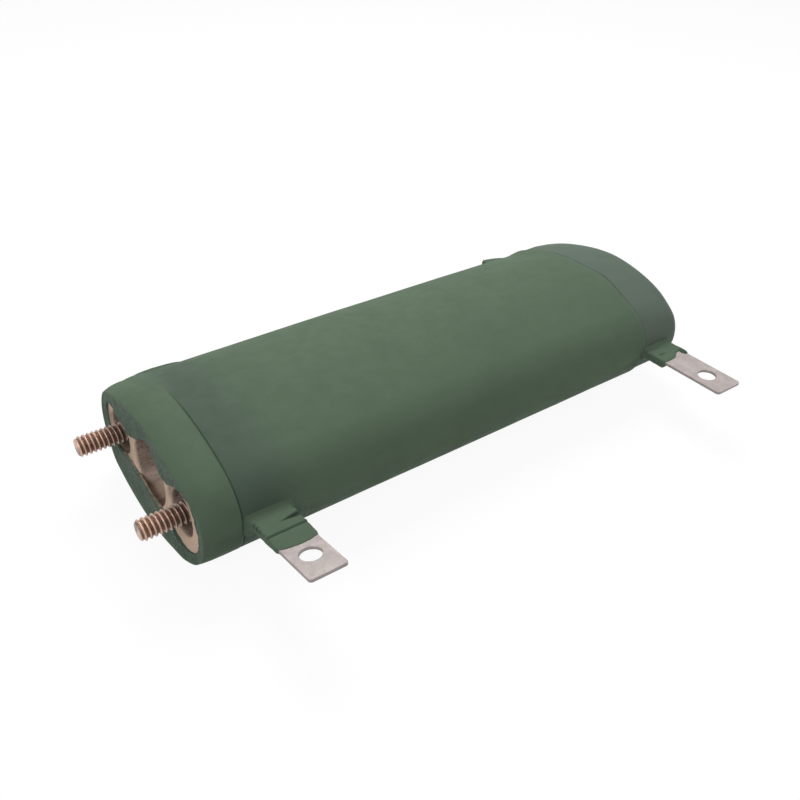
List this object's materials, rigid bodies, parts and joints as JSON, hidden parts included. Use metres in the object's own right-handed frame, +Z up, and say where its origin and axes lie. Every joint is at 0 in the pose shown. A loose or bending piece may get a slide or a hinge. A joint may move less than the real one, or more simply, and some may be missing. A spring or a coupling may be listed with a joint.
{
  "type": "flat-oval wirewound power resistor",
  "caption": "Smooth green-coated flat-oval wirewound power resistor on a hollow ceramic core, with threaded mounting studs at one end and drilled terminal lugs along one side.",
  "frame": {"origin": "on the coated face of the stud end, midway between the two studs", "axes": "+X along the body away from the studs, -Y towards the tips of the terminal lugs, +Z up as it lies on its flat side"},
  "size_m": [0.1513, 0.0886, 0.0297],
  "materials": {
    "ceramic": "bare fired ceramic, matt and slightly grainy",
    "resistance_wire": "drawn alloy wire",
    "tinned_strap": "dull tinned sheet",
    "green_coating": "matt grey-green heat-proof coating",
    "coppered_steel": "copper-coloured plated thread",
    "cement": "rough cement"
  },
  "bodies": {
    "root": {"ceramic_core": "ceramic", "resistance_winding": "resistance_wire", "stud_end_band": "tinned_strap", "plain_end_band": "tinned_strap", "coating": "green_coating", "far_stud": "coppered_steel", "near_stud": "coppered_steel", "far_stud_cement": "cement", "near_stud_cement": "cement"}
  },
  "joints": []
}
